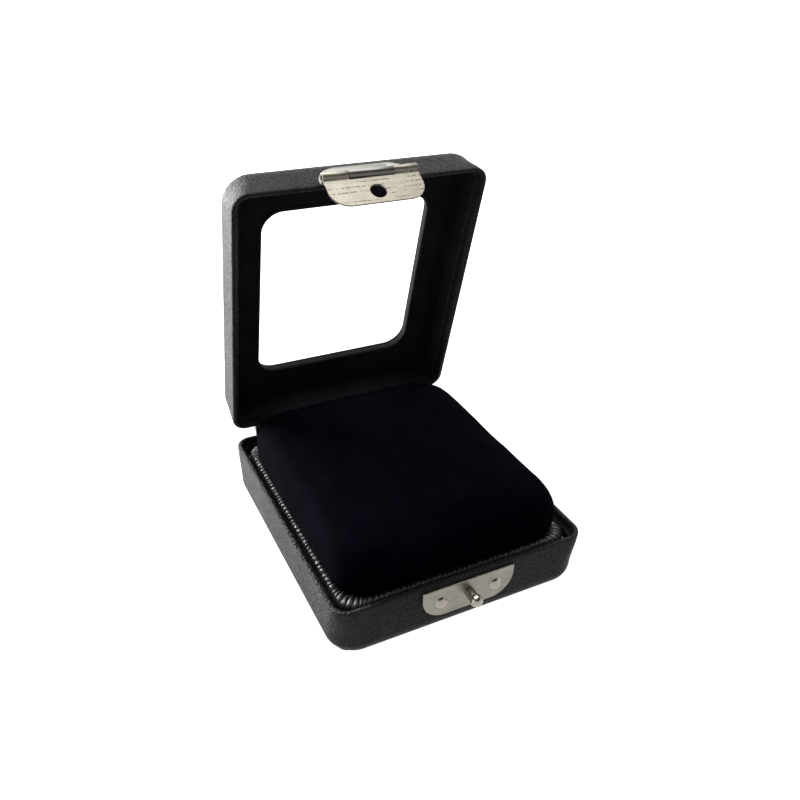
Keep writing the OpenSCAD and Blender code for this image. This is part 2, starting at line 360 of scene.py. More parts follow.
@dataclass(frozen=True)
class Leatherette(Finish):
    """Pebble-grained coated cloth, nearly black, with a soft painted sheen: the grain's raised tops
    are painted lighter.
    """

    dark: Colour = (0.0016, 0.0016, 0.0018)
    # light is the colour of the painted sheen on the grain's tops, and of the random worn patches.
    light: Colour = (0.011, 0.0105, 0.0105)
    pebble: float = 0.75
    depth: float = 0.85
    roughness: float = 0.4

    def build(self) -> bpy.types.Material:
        """Makes the material."""
        r = Recipe(self.name)
        warp = r.noise(2.4, 2.0)
        pebbles = 1.0 - r.cells(self.pebble, "SMOOTH_F1")
        fine = 1.0 - r.cells(self.pebble * 0.45)
        creases = r.noise(1.1, 4.0)
        grain = pebbles * 0.62 + fine * 0.42 + creases * 0.14 + warp * 0.08
        worn = r.noise(14.0, 3.0).step(0.35, 0.75)
        # Painted sheen: tone lightens the colour on the grain's raised tops; worn adds random wear.
        tone = grain.step(0.35, 1.0) * 0.7 + worn * 0.3
        rough = self.roughness + 0.16 * (1.0 - grain.step(0.4, 1.0)) - 0.06 * worn
        return r.surface(
            Base_Color=r.tint(tone, self.dark, self.light),
            Roughness=rough,
            Normal=r.bump(grain, self.depth),
            Specular_IOR_Level=0.095,
        )


@dataclass(frozen=True)
class Velvet(Finish):
    """Short-pile velvet or flock: nearly black, with a faint cool sheen across the nap."""

    dark: Colour = (0.0003, 0.00025, 0.0009)
    light: Colour = (0.0009, 0.0008, 0.0022)
    sheen: float = 0.0
    nap: float = 9.0
    gloss: float = 0.006

    def build(self) -> bpy.types.Material:
        """Makes the material."""
        r = Recipe(self.name)
        brushed = r.noise(self.nap, 3.0, r.stretched((1.0, 0.45, 1.0))).step(0.38, 0.66)
        pile = r.noise(0.22, 2.0)
        tufts = r.cells(0.34)
        tone = brushed * 0.6 + pile * 0.4
        return r.surface(
            Base_Color=r.tint(tone, self.dark, self.light),
            Roughness=0.86 + 0.12 * pile,
            Normal=r.bump(pile * 0.7 + tufts * 0.3, 0.05, r.bump(brushed, 0.12)),
            Specular_IOR_Level=self.gloss,
            Sheen_Weight=self.sheen,
            Sheen_Roughness=0.35,
            Sheen_Tint=(0.75, 0.78, 1.0, 1.0),
        )


@dataclass(frozen=True)
class Satin(Finish):
    """Thin glossy woven satin, with its fine threads along X and Y."""

    dark: Colour = (0.002, 0.002, 0.003)
    light: Colour = (0.014, 0.014, 0.015)
    roughness: float = 0.28
    thread: float = 0.16

    def build(self) -> bpy.types.Material:
        """Makes the material."""
        r = Recipe(self.name)
        beat = 2 * math.pi / (self.thread * MM)
        warp = (r.along((0.7, 0.7, 0.15)) * beat).sine() * 0.5 + 0.5
        weft = (r.along((-0.7, 0.7, 0.1)) * beat).sine() * 0.5 + 0.5
        crumple = r.noise(0.9, 3.0)
        weave = warp * 0.5 + weft * 0.5
        return r.surface(
            Base_Color=r.tint(weave * 0.5 + crumple * 0.5, self.dark, self.light),
            Roughness=self.roughness + 0.14 * crumple + 0.08 * weave,
            Normal=r.bump(weave, 0.012, r.bump(crumple, 0.14)),
            Specular_IOR_Level=0.6,
        )


@dataclass(frozen=True)
class Nickel(Finish):
    """Warm nickel plate with faint rolling marks and a little tarnish in blotches."""

    bright: Colour = (0.7, 0.66, 0.57)
    dull: Colour = (0.56, 0.52, 0.44)
    roughness: float = 0.34
    mark: float = 0.006

    def build(self) -> bpy.types.Material:
        """Makes the material."""
        r = Recipe(self.name)
        rolled = r.noise(0.5, 3.0, r.stretched((0.06, 1.0, 1.0)))
        blotch = r.noise(3.2, 3.0)
        specks = r.noise(0.28, 2.0)
        tone = rolled * 0.4 + blotch * 0.6
        return r.surface(
            Base_Color=r.tint(tone.step(0.25, 0.75), self.dull, self.bright),
            Metallic=1.0,
            Roughness=self.roughness + 0.1 * specks - 0.07 * rolled + 0.05 * blotch,
            Normal=r.bump(rolled * 0.7 + specks * 0.3, self.mark),
        )


@dataclass(frozen=True)
class EngravedNickel(Nickel):
    """Nickel with rows of fine broken lines, as stamped on the flap; the lines are painted dark as
    painted shade in the grooves.

    The rows run along X; across is the unit direction down the flap at rest.
    """

    across: tuple[float, float, float] = (0.0, 0.0, 1.0)
    pitch: float = 1.9
    groove_painted_shade: Colour = (0.06, 0.054, 0.042)

    def build(self) -> bpy.types.Material:
        """Makes the material."""
        r = Recipe(self.name)
        wave = r.noise(9.0, 1.0) * 0.0003
        row = (r.along(self.across) + wave) * (2 * math.pi / (self.pitch * MM))
        groove = (row.sine() * 0.5 + 0.5).step(0.93, 0.99)
        dashes = r.noise(0.8, 1.0, r.stretched((1.0, 0.3, 0.3))).step(0.46, 0.52)
        stretch = r.noise(5.0, 1.0, r.stretched((0.5, 1.6, 1.6))).step(0.42, 0.5)
        cut = groove * dashes * stretch
        blotch = r.noise(2.6, 3.0)
        tone = r.tint(blotch.step(0.3, 0.7), self.dull, self.bright)
        return r.surface(
            # Painted shade: the cut lines take the dark groove colour.
            Base_Color=r.tint(cut, tone, self.groove_painted_shade),
            Metallic=1.0,
            Roughness=self.roughness + 0.16 * cut + 0.06 * blotch,
            Normal=r.bump(1.0 - cut, 0.05, r.bump(r.noise(0.3, 2.0), 0.008)),
        )


@dataclass(frozen=True)
class Lacquer(Finish):
    """Black lacquer on steel, scuffed to grey in small patches."""

    colour: Colour = (0.006, 0.006, 0.007)
    scuffed: Colour = (0.05, 0.05, 0.052)

    def build(self) -> bpy.types.Material:
        """Makes the material."""
        r = Recipe(self.name)
        scuff = r.noise(1.8, 4.0).step(0.62, 0.74)
        peel = r.noise(0.35, 1.0)
        return r.surface(
            Base_Color=r.tint(scuff, self.colour, self.scuffed),
            Roughness=0.26 + 0.3 * scuff + 0.08 * peel,
            Normal=r.bump(peel, 0.01),
        )


@dataclass(frozen=True)
class PlainCard(Finish):
    """Dull card, board or foam with a fine fibrous surface."""

    pale: Colour = (0.3, 0.29, 0.27)
    dark: Colour = (0.2, 0.195, 0.18)
    fibre: float = 0.4

    def build(self) -> bpy.types.Material:
        """Makes the material."""
        r = Recipe(self.name)
        fibres = r.noise(self.fibre, 4.0, r.stretched((0.4, 1.0, 1.0)))
        return r.surface(
            Base_Color=r.tint(fibres.step(0.3, 0.7), self.dark, self.pale),
            Roughness=0.85 + 0.1 * fibres,
            Normal=r.bump(fibres, 0.05),
        )


@dataclass(frozen=True)
class Clear(Finish):
    """Thin clear sheet, with faint haze and dust that catch the light."""

    haze: float = 0.03

    def build(self) -> bpy.types.Material:
        """Makes the material."""
        r = Recipe(self.name)
        dust = r.noise(4.0, 5.0).step(0.5, 0.9)
        return r.surface(
            Base_Color=r.tint(dust, (0.2, 0.2, 0.21), (0.3, 0.3, 0.3)),
            Roughness=0.04 + 0.1 * dust,
            Alpha=self.haze + 0.03 * dust,
            Normal=r.bump(r.noise(30.0, 1.0), 0.02),
        )


@dataclass(frozen=True)
class Floor(Finish):
    """A plain pale studio floor that glows, more so behind the box, and reads as white."""

    near_glow: float = 0.94
    far_glow: float = 2.4

    def build(self) -> bpy.types.Material:
        """Makes the material."""
        r = Recipe(self.name)
        reach = r.along((-0.3, 0.95, 0.0))
        near = (self.near_glow,) * 3
        far = (self.far_glow,) * 3
        return r.surface(
            Base_Color=r.tint(r.noise(300.0, 2.0), (0.08, 0.08, 0.08), (0.09, 0.09, 0.09)),
            Roughness=0.9,
            Specular_IOR_Level=0.1,
            Emission_Color=r.tint(reach.step(-0.12, 0.3), near, far),
            Emission_Strength=1.0,
        )


SKIN = Leatherette("leatherette_black")
LINING = Velvet("lining_flock", (0.0014, 0.0014, 0.0021), (0.0045, 0.0044, 0.006), 0.02, 12.0, 0.07)
PAD_VELVET = Velvet("pad_velvet_black")
BINDING = Velvet("ribbon_binding", (0.001, 0.001, 0.0015), (0.004, 0.004, 0.005), 0.03, 6.0, 0.12)
PLEATED = Satin("satin_pleated", (0.002, 0.002, 0.003), (0.02, 0.02, 0.021), 0.27)
# The hasp leaf, clasp plate and domed parts are one nickel, each painted darker by its own amount
# as painted shade for how the lamps and floor fall on it; their roughness and bumps are the real
# finishes.
PLATE_PAINTED_SHADE = Nickel("nickel_rolled_painted_shade", (0.13, 0.126, 0.114), (0.108, 0.104, 0.094), 0.3)
SATIN_PLATE_PAINTED_SHADE = Nickel("nickel_satin_painted_shade", (0.3, 0.28, 0.24), (0.22, 0.205, 0.175), 0.36)
POLISHED_PAINTED_SHADE = Nickel("nickel_domed_painted_shade", (0.4, 0.365, 0.33), (0.29, 0.265, 0.24), 0.14, 0.002)
LACQUER = Lacquer("lacquer_black")
WIRE = Nickel("steel_wire", (0.5, 0.5, 0.5), (0.4, 0.4, 0.4), 0.28, 0.004)
BOARD = PlainCard("moulded_grey_board", (0.13, 0.13, 0.135), (0.08, 0.08, 0.083), 0.8)
CARD = PlainCard("plain_grey_card")
PANE = Clear("clear_sheet")


# ---- mesh helpers --------------------------------------------------------------------------


@dataclass(frozen=True)
class LidTurn:
    """The turn that brings a lid piece drawn shut into the open rest position."""

    y: float
    z: float
    angle: float

    def open(self, points: Points) -> Points:
        """Turns points about the hinge axis.

        Args:
            points: Rows of x, y, z in millimetres, with the lid shut.

        Returns:
            The same points with the lid at rest.
        """
        c = math.cos(self.angle)
        s = math.sin(self.angle)
        y = points[:, 1] - self.y
        z = points[:, 2] - self.z
        return np.column_stack((points[:, 0], self.y + y * c + z * s, self.z - y * s + z * c))


def hinge_turn() -> LidTurn:
    """Reads the lid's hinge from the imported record.

    Returns:
        The turn of the lid.
    """
    joint = next(j for j in frame["joints"] if j["name"] == "lid_hinge")
    _, y, z = joint["pos_m"]
    return LidTurn(y / MM, z / MM, math.radians(joint["range_deg"][1]))


TURN = hinge_turn()


def plan_loop(
    half_x: float, half_y: float, radius: float, arc: int = 14, sides: tuple = (26, 30)
) -> Points:
    """One rounded rectangle, anticlockwise from the right end of its back right corner.

    Args:
        half_x: Half its width.
        half_y: Half its depth.
        radius: Its corner radius.
        arc: Steps in each corner.
        sides: Steps along an X side and along a Y side.

    Returns:
        Rows of x, y.
    """
    rows: list[tuple[float, float]] = []
    corners = ((1, 1), (-1, 1), (-1, -1), (1, -1))

    def point(corner: int, turn: float) -> tuple[float, float]:
        """A point of one corner's arc."""
        sx, sy = corners[corner % 4]
        a = corner * math.pi / 2 + turn
        cx = sx * (half_x - radius)
        cy = sy * (half_y - radius)
        return cx + radius * math.cos(a), cy + radius * math.sin(a)

    for corner in range(4):
        turns = np.linspace(0, math.pi / 2, arc + 1)
        rows += [point(corner, t) for t in turns]
        x0, y0 = point(corner, math.pi / 2)
        x1, y1 = point(corner + 1, 0)
        count = sides[corner % 2]
        for i in range(1, count):
            share = i / count
            rows.append((x0 + (x1 - x0) * share, y0 + (y1 - y0) * share))
    return np.array(rows)


def ring(plan: Points, z: Union[float, Points]) -> Points:
    """Lifts a plan loop to a height.

    Args:
        plan: Rows of x, y.
        z: The height, or one for each row.

    Returns:
        Rows of x, y, z.
    """
    return np.column_stack((plan, np.broadcast_to(z, len(plan))))


def loft(
    rings: Sequence[Points], first_cap: bool = False, last_cap: bool = False, closed: bool = False
) -> Shape:
    """Joins loops of equal length with quads.

    Args:
        rings: The loops, in order.
        first_cap: Whether the first loop is filled.
        last_cap: Whether the last loop is filled.
        closed: Whether the last loop joins the first.

    Returns:
        The points and the faces.
    """
    n = len(rings[0])
    faces: Faces = []
    pairs = len(rings) if closed else len(rings) - 1
    for k in range(pairs):
        a = k * n
        b = ((k + 1) % len(rings)) * n
        for i in range(n):
            j = (i + 1) % n
            faces.append([a + i, a + j, b + j, b + i])
    if first_cap:
        faces.append(list(range(n - 1, -1, -1)))
    if last_cap:
        start = (len(rings) - 1) * n
        faces.append(list(range(start, start + n)))
    return np.vstack(rings), faces


def make_piece(
    name: str, shape: Shape, finish: Finish, crease: float = 35.0
) -> bpy.types.Object:
    """Makes a mesh object with outward normals and smooth shading.

    Args:
        name: The piece's name.
        shape: Its points in millimetres, and its faces.
        finish: Its finish.
        crease: Edges sharper than this many degrees stay sharp.

    Returns:
        The object, in the scene.
    """
    points, faces = shape
    mesh = bpy.data.meshes.new(name)
    mesh.from_pydata((points * MM).tolist(), [], faces)
    work = bmesh.new()
    work.from_mesh(mesh)
    bmesh.ops.recalc_face_normals(work, faces=work.faces)
    work.to_mesh(mesh)
    work.free()
    mesh.shade_smooth()
    mesh.set_sharp_from_angle(angle=math.radians(crease))
    mesh.materials.append(finish.material())
    piece = bpy.data.objects.new(name, mesh)
    bpy.context.scene.collection.objects.link(piece)
    return piece


def settle(
    piece: bpy.types.Object, body: Body, replaced: Sequence[str] = ()
) -> None:
    """Puts a piece on its body and logs it.

    Args:
        piece: The piece.
        body: The body that it rides on.
        replaced: The CAD nodes that it stands for.
    """
    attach(piece, body.value)
    if replaced:
        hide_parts(*replaced)
    LOG.info("%s rides on %s", piece.name, body.value)


def soft_noise(seed: int, points: Points, pitch: float) -> Points:
    """Smooth random values over space, from a few sums of sines.

    Args:
        seed: The random seed.
        points: Rows of coordinates.
        pitch: The size of one swell, in the points' unit.

    Returns:
        A value from about -1 to 1 for each row.
    """
    rng = np.random.default_rng(seed)
    total = np.zeros(len(points))
    waves = 9
    for _ in range(waves):
        way = rng.normal(size=points.shape[1])
        way /= np.linalg.norm(way)
        scale = 2 * math.pi / (pitch * rng.uniform(0.8, 2.4))
        total += np.sin(points @ way * scale + rng.uniform(0, 2 * math.pi))
    return total / math.sqrt(waves)


@dataclass(frozen=True)
class Window:
    """The outline of the opening through the lid."""

    half_x: float = 31.6
    half_y: float = 35.8
    radius: float = 8.0

    def loop(self, grow: float) -> Points:
        """The outline widened by grow, as rows of x, y."""
        return plan_loop(self.half_x + grow, self.half_y + grow, self.radius + grow)


WINDOW = Window()


# ---- case ----------------------------------------------------------------------------------


@dataclass
class CaseHalf:
    """One half of the case: its moulded board and the leatherette drawn over it."""

    body: Body
    height: float
    flat_z: float
    half_x: float = 45.0
    half_y: float = 51.0
    edge: float = 6.6
    low_radius: float = 9.2
    rim_radius: float = 5.8
    taper: float = 0.6
    skin: float = 0.55
    wall: float = 2.6
    turn_in: float = 3.6
    tuck_seed: int = 5
    tuck_depth: float = 0.34
    tuck_pitch: float = 8.5
    rim_steps: Profile = (
        (0.04, -0.42), (0.16, -0.16), (0.38, -0.03), (0.7, 0.0), (1.15, -0.02), (1.42, -0.12),
        (1.58, -0.34), (1.64, -0.9), (1.68, -1.9), (1.85, -2.5), (2.4, -2.75), (2.85, -2.85),
        (3.0, -3.1), (3.0, -3.6),
    )
    fold_steps: Profile = (
        (2.66, -3.6), (2.6, -3.3), (1.8, -3.1), (1.3, -2.5), (1.16, -0.6), (0.62, -0.5),
    )

    def level(self, z: float) -> float:
        """Height of a point that is z from the half's closed face."""
        return z if self.body is Body.BASE else self.flat_z - z

    def radius_at(self, z: float) -> float:
        """Corner radius of the outer wall, which tightens towards the rim."""
        share = min(1.0, max(0.0, (z - self.edge) / (self.height - self.edge)))
        share = share * share * (3 - 2 * share)
        return self.low_radius + (self.rim_radius - self.low_radius) * share

    def outer_rows(self, inset: float, top: float) -> list[Row]:
        """The outer wall's section, from the closed face's flat out and up to near the rim.

        Args:
            inset: How far inside the outer surface the rows lie.
            top: Where the rows end, from the closed face.

        Returns:
            Rows of inset, height from the closed face, corner radius.
        """
        rows = []
        for turn in np.linspace(0, math.pi / 2, 11):
            run = (self.edge - inset) * (1 - math.sin(turn)) + inset
            rise = (self.edge - inset) * (1 - math.cos(turn)) + inset
            rows.append((run, rise, self.low_radius - self.taper * run))
        for z in np.linspace(self.edge, top, 7)[1:]:
            rows.append((inset, float(z), self.radius_at(float(z)) - inset))
        return rows

    def rim_rows(self) -> list[Row]:
        """The rim's section: a tight roll over the edge, then a ledge turned in to the lining.

        Returns:
            Rows of inset, height from the closed face, corner radius.
        """
        return self.rim_section(self.rim_steps)

    def fold_back(self) -> list[Row]:
        """The underside of the rim's fold, from the turn-in back to the outer wall.

        Returns:
            Rows of inset, height from the closed face, corner radius.
        """
        return self.rim_section(self.fold_steps)

    def rim_section(self, steps: Profile) -> list[Row]:
        """Rows near the rim, whose corners tighten inwards.

        Args:
            steps: Each row's inset, and its height above the rim.

        Returns:
            Rows of inset, height from the closed face, corner radius.
        """
        return [(t, self.height + dz, self.rim_radius - t * 0.9) for t, dz in steps]

    def rings(self, rows: Sequence[Row]) -> list[Points]:
        """Loops of the case at rows of inset, height and radius.

        Args:
            rows: The section's rows.

        Returns:
            The loops, in the shut position.
        """
        made = []
        for inset, z, radius in rows:
            plan = plan_loop(self.half_x - inset, self.half_y - inset, max(radius, 1.5))
            made.append(ring(plan, self.level(z)))
        return made

    def tucked(self, rings: list[Points], rows: Sequence[Row]) -> None:
        """Gathers the turned-in leatherette into small tucks round the rim's corners.

        Args:
            rings: The loops, changed in place.
            rows: Their section rows.
        """
        rng = np.random.default_rng(self.tuck_seed)
        phase = rng.uniform(0, 2 * math.pi, 4)
        way = 1 if self.body is Body.BASE else -1
        for loop, (inset, z, radius) in zip(rings, rows):
            depth = self.tuck_depth * min(1.0, max(0.0, (inset - 0.9) / 0.8))
            if radius is None or z < self.height - 0.5 or depth <= 0:
                continue
            cx = np.abs(loop[:, 0]) - (self.half_x - inset - radius)
            cy = np.abs(loop[:, 1]) - (self.half_y - inset - radius)
            at = np.arctan2(np.maximum(cy, 0), np.maximum(cx, 0))
            near = np.sin(2 * at) ** 0.5 * ((cx > 0) & (cy > 0))
            corner = (loop[:, 0] > 0).astype(int) * 2 + (loop[:, 1] > 0).astype(int)
            fold = np.abs(np.sin(at * self.tuck_pitch + phase[corner])) ** 0.7 - 0.6
            loop[:, 2] += way * np.minimum(depth * near * (fold - 0.4), 0)

    def finish_points(self, points: Points) -> Points:
        """Brings lid points to the open rest position, and leaves base points alone."""
        return TURN.open(points) if self.body is Body.LID else points

    def start_rows(self) -> list[Row]:
        """Extra rows before the outer wall: none for the base, the window's fold for the lid."""
        return []

    def skin_shape(self) -> Shape:
        """The leatherette as a thin closed shell."""
        outer = self.start_rows() + self.outer_rows(0.0, self.height - 0.7) + self.rim_rows()
        inside = self.outer_rows(self.skin, self.height - 0.9)
        rows = outer + self.fold_back() + inside[::-1] + self.under_rows()
        loops = self.rings(rows)
        self.tucked(loops[: len(outer)], outer)
        closed = self.body is Body.LID
        points, faces = loft(loops, not closed, not closed, closed)
        return self.finish_points(points), faces

    def under_rows(self) -> list[Row]:
        """Rows that end the skin's inner surface."""
        return []

    def build(self) -> None:
        """Makes the board and the leatherette of this half."""
        name = self.body.value
        skin = make_piece(f"{name}_leatherette", self.skin_shape(), SKIN, 50)
        settle(skin, self.body, [f"{name}_wrap"])
        board = make_piece(f"{name}_moulded_board", self.board_shape(), BOARD)
        settle(board, self.body, [f"{name}_shell"])

    def board_shape(self) -> Shape:
        """The moulded board inside the leatherette."""
        gap = self.skin + 0.05
        top = self.height - 1.6
        outer = self.outer_rows(gap, top)
        lip = [(gap + 0.6, top - 0.1, self.rim_radius - 1.1)]
        lip.append((1.2, self.height - 2.7, self.rim_radius - 1.2))
        lip.append((1.75, self.height - 3.25, self.rim_radius - 1.7))
        wall_r = self.rim_radius - 2.4
        inner = [(self.wall - 0.05, self.height - 3.45, wall_r)]
        inner.append((self.wall, self.height - self.turn_in - 0.2, wall_r))
        inner.append((self.wall, self.floor_z(), wall_r))
        rows = self.board_start() + outer + lip + inner + self.board_end()
        closed = self.body is Body.LID
        points, faces = loft(self.rings(rows), not closed, not closed, closed)
        return self.finish_points(points), faces

    def floor_z(self) -> float:
        """Where the board's inside wall ends, from the closed face."""
        return self.wall

    def board_start(self) -> list[Row]:
        """Board rows before the outer wall."""
        return []

    def board_end(self) -> list[Row]:
        """Board rows after the inner wall."""
        return []


@dataclass
class LidHalf(CaseHalf):
    """The lid's half of the case, with the window through its top."""

    fold_steps_round_window: Profile = (
        (0.0, 0.5), (0.0, 0.22), (0.1, 0.06), (0.3, 0.0), (1.2, 0.0), (4.0, 0.0),
    )

    def rings(self, rows: Sequence[Row]) -> list[Points]:
        """Loops of the lid; a row without a radius follows the window's edge.

        Args:
            rows: The section's rows; a window row starts with its growth.

        Returns:
            The loops, in the shut position.
        """
        made = []
        for inset, z, radius in rows:
            if radius is None:
                made.append(ring(WINDOW.loop(inset), self.level(z)))
            else:
                made += super().rings([(inset, z, radius)])
        return made

    def start_rows(self) -> list[Row]:
        """The fold round the window, from its underside over the edge onto the top."""
        return [(grow, z, None) for grow, z in self.fold_steps_round_window]

    def under_rows(self) -> list[Row]:
        """The skin's underside back to the window."""
        return [(1.2, self.skin, None), (0.2, self.skin, None)]

    def floor_z(self) -> float:
        """The lid's inside wall ends at the ceiling lining."""
        return 3.4

    def board_start(self) -> list[Row]:
        """The board's window edge above the pane."""
        return [(2.1, 1.5, None), (2.1, 0.62, None)]

    def board_end(self) -> list[Row]:
        """The board's underside, back to the pane's seat."""
        return [(0.5, self.floor_z(), None), (0.5, 1.5, None)]


@dataclass
class Linings:
    """The flocked linings of both halves, and the binding round the window."""

    half_x: float = 42.4
    half_y: float = 48.4
    radius: float = 3.4
    thickness: float = 0.38
    cove_from: float = 0.7
    ceiling_gap: float = 0.4
    puff: float = 0.32
    base_low: float = 6.0
    base_high: float = 16.95
    lid_low: float = 24.45
    lid_high: float = 33.66
    bead: Profile = (
        (-0.5, 35.74), (-0.56, 34.4), (-0.58, 33.6), (-0.5, 33.3), (-0.28, 33.14), (0.1, 33.08),
        (0.5, 33.14), (0.7, 33.34), (0.56, 33.5), (0.42, 33.9), (0.42, 35.74),
    )

    def wall(self, low: float, high: float, cove: float) -> Shape:
        """A lining glued round the inside of a wall.

        Args:
            low: Its lower edge.
            high: Its upper edge.
            cove: How far its upper edge curves in.

        Returns:
            The points and faces of a thin closed band.
        """
        t = self.thickness
        rows = []
        for share in np.linspace(0, 1, 9):
            z = low + (high - low) * share
            bend = cove * max(0.0, (share - self.cove_from) / (1 - self.cove_from)) ** 2
            rows.append((t + bend, z))
        back = [(0.0, high), (0.0, (low + high) / 2), (0.0, low)]
        loops = [
            ring(plan_loop(self.half_x - a, self.half_y - a, self.radius - a * 0.8), z)
            for a, z in rows + back
        ]
        return loft(loops, closed=True)

    def ceiling(self) -> Shape:
        """The lid's ceiling lining: a thin padded frame folded in round the window."""
        z = self.lid_high
        edge_x = self.half_x - self.ceiling_gap
        edge_y = self.half_y - self.ceiling_gap
        rows: list[Points] = []
        for share in np.linspace(0, 1, 14):
            puff = self.puff * math.sin(math.pi * share) ** 0.5 if 0 < share < 1 else 0.0
            x = edge_x + (WINDOW.half_x + 0.55 - edge_x) * share
            y = edge_y + (WINDOW.half_y + 0.55 - edge_y) * share
            r = self.radius + (WINDOW.radius + 0.5 - self.radius) * share
            rows.append(ring(plan_loop(x, y, r), z - puff))
        rows.append(ring(WINDOW.loop(0.5), z + 0.45))
        rows.append(ring(plan_loop(edge_x, edge_y, self.radius), z + 0.5))
        return loft(rows, closed=True)

    def binding(self) -> Shape:
        """The narrow ribbon folded over the window's edge, as a soft rounded bead."""
        return loft([ring(WINDOW.loop(grow), z) for grow, z in self.bead], closed=True)

    def build(self) -> None:
        """Makes the linings."""
        base = make_piece("base_wall_lining", self.wall(self.base_low, self.base_high, 0.0), LINING)
        settle(base, Body.BASE, ["base_lining"])
        points, faces = self.wall(self.lid_low, self.lid_high, 0.9)
        walls = make_piece("lid_wall_flock", (TURN.open(points), faces), LINING)
        settle(walls, Body.LID, ["lid_wall_lining"])
        points, faces = self.ceiling()
        ceiling = make_piece("lid_ceiling_flock", (TURN.open(points), faces), LINING, 60)
        settle(ceiling, Body.LID, ["lid_ceiling_lining"])
        points, faces = self.binding()
        ribbon = make_piece("window_binding", (TURN.open(points), faces), BINDING, 60)
        settle(ribbon, Body.LID, ["window_trim"])


# ---- pad -----------------------------------------------------------------------------------


@dataclass
class VelvetPad:
    """The tall stuffed pad, shaped by a short cloth simulation."""

    half_x: float = 40.8
    half_y: float = 46.8
    foot: float = 2.4
    foot_z: float = 15.1
    belly_z: float = 23.6
    top_z: float = 35.2
    dome: float = 1.0
    shoulder: float = 5.2
    foot_radius: float = 9.4
    radius: float = 11.5
    voxel: float = 2.4
    pressure: float = 4.0
    frames: int = 20
    cap: float = 1.2
    pressed: float = 0.86
    side_profile: Profile = ((1.9, 18.6), (1.0, 20.2), (0.3, 21.8))
    pinned_below: float = 19.5
    pin_fade: float = 3.0
    pile_from: float = 19.0
    pile_fade: float = 4.0
    swells: tuple[tuple[int, float, float], ...] = ((11, 16.0, 0.12), (12, 5.0, 0.05))
    room_above: float = 0.4
    room_beside: float = 0.5

    def start_shape(self) -> Shape:
        """The pad before it swells: a loaf with an upright foot and a rounded shoulder."""
        rows = [(self.foot, self.foot_z), (self.foot, self.foot_z + 2.2)]
        rows += [*self.side_profile, (0.0, self.belly_z)]
        brow = self.top_z - self.dome
        for turn in np.linspace(0.12, 1, 12):
            a = turn * math.pi / 2
            rise = (brow - self.belly_z) * math.sin(a)
            rows.append((self.shoulder * (1 - math.cos(a)), self.belly_z + rise))
        crown_rows = 12
        for share in np.linspace(0, 1, crown_rows + 1)[1:]:
            inset = self.shoulder + (self.half_x - 1.2 - self.shoulder) * share
            lift = self.dome * (1 - (1 - share) ** 2)
            rows.append((inset, brow + lift))
        loops = []
        for inset, z in rows:
            hx = self.half_x - inset
            hy = self.half_y - inset
            share = min(1.0, (z - self.foot_z) / (self.belly_z - self.foot_z))
            radius = self.foot_radius + (self.radius - self.foot_radius) * share
            if z > self.belly_z:
                radius = min(self.radius + 0.5 * max(0.0, inset - 2), hx * 0.93)
            loops.append(ring(plan_loop(hx, hy, radius), z))
        return loft(loops, True, True)

    def even_out(self, piece: bpy.types.Object) -> None:
        """Gives the pad an even grid of faces.

        Args:
            piece: The pad, whose mesh is replaced.
        """
        remesh = piece.modifiers.new("even", "REMESH")
        remesh.mode = "VOXEL"
        remesh.voxel_size = self.voxel * MM
        self.apply(piece)

    def swell(self, piece: bpy.types.Object) -> None:
        """Blows the pad up a little with cloth pressure, then caps how far it moved.

        Args:
            piece: The pad, whose points are moved.
        """
        rest = np.array([v.co for v in piece.data.vertices])
        normals = np.array([v.normal for v in piece.data.vertices])
        pins = piece.vertex_groups.new(name="foot")
        for vertex in piece.data.vertices:
            weight = max(0.0, min(1.0, (self.pinned_below - vertex.co.z / MM) / self.pin_fade))
            pins.add([vertex.index], weight, "REPLACE")
        cloth = piece.modifiers.new("cloth", "CLOTH")
        cloth.settings.quality = 6
        cloth.settings.mass = 0.12
        cloth.settings.tension_stiffness = 12
        cloth.settings.compression_stiffness = 8
        cloth.settings.bending_stiffness = 0.6
        cloth.settings.use_pressure = True
        cloth.settings.uniform_pressure_force = self.pressure
        cloth.settings.vertex_group_mass = "foot"
        cloth.settings.effector_weights.gravity = 0
        cloth.point_cache.frame_end = self.frames
        scene = bpy.context.scene
        for step in range(1, self.frames + 1):
            scene.frame_set(step)
        self.apply(piece)
        now = np.array([v.co for v in piece.data.vertices])
        push = np.clip(((now - rest) * normals).sum(axis=1), 0.0, self.cap * MM)
        piece.data.vertices.foreach_set("co", (rest + normals * push[:, None]).ravel())
        scene.frame_set(1)

    def apply(self, piece: bpy.types.Object) -> None:
        """Bakes a piece's modifiers into its mesh.

        Args:
            piece: The piece.
        """
        graph = bpy.context.evaluated_depsgraph_get()
        graph.update()
        mesh = bpy.data.meshes.new_from_object(piece.evaluated_get(graph))
        piece.modifiers.clear()
        piece.data = mesh

    def soften(self, piece: bpy.types.Object) -> None:
        """Subdivides the pad, and gives its pile low swells that stay inside its room.

        Args:
            piece: The pad.
        """
        smooth = piece.modifiers.new("relax", "SMOOTH")
        smooth.factor = 0.5
        smooth.iterations = 6
        finer = piece.modifiers.new("finer", "SUBSURF")
        finer.levels = 1
        finer.render_levels = 1
        self.apply(piece)
        points = np.array([v.co for v in piece.data.vertices]) / MM
        normals = np.array([v.normal for v in piece.data.vertices])
        above = np.clip((points[:, 2] - self.pile_from) / self.pile_fade, 0, 1)
        swell = sum(high * soft_noise(seed, points, pitch) for seed, pitch, high in self.swells)
        points += normals * (swell * above)[:, None]
        room_x = self.half_x + self.room_beside
        room_y = self.half_y + self.room_beside
        room = (room_x, room_y, self.top_z + self.room_above)
        points = np.clip(points, (-room_x, -room_y, self.foot_z), room)
        piece.data.vertices.foreach_set("co", (points * MM).ravel())
        piece.data.shade_smooth()

    def build(self) -> None:
        """Makes the pad."""
        pad = make_piece("velvet_cushion", self.start_shape(), PAD_VELVET, 180)
        self.even_out(pad)
        self.swell(pad)
        self.soften(pad)
        if not pad.data.materials:
            pad.data.materials.append(PAD_VELVET.material())
        settle(pad, Body.BASE, ["velvet_pad", "pad_foam"])
        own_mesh(pad)


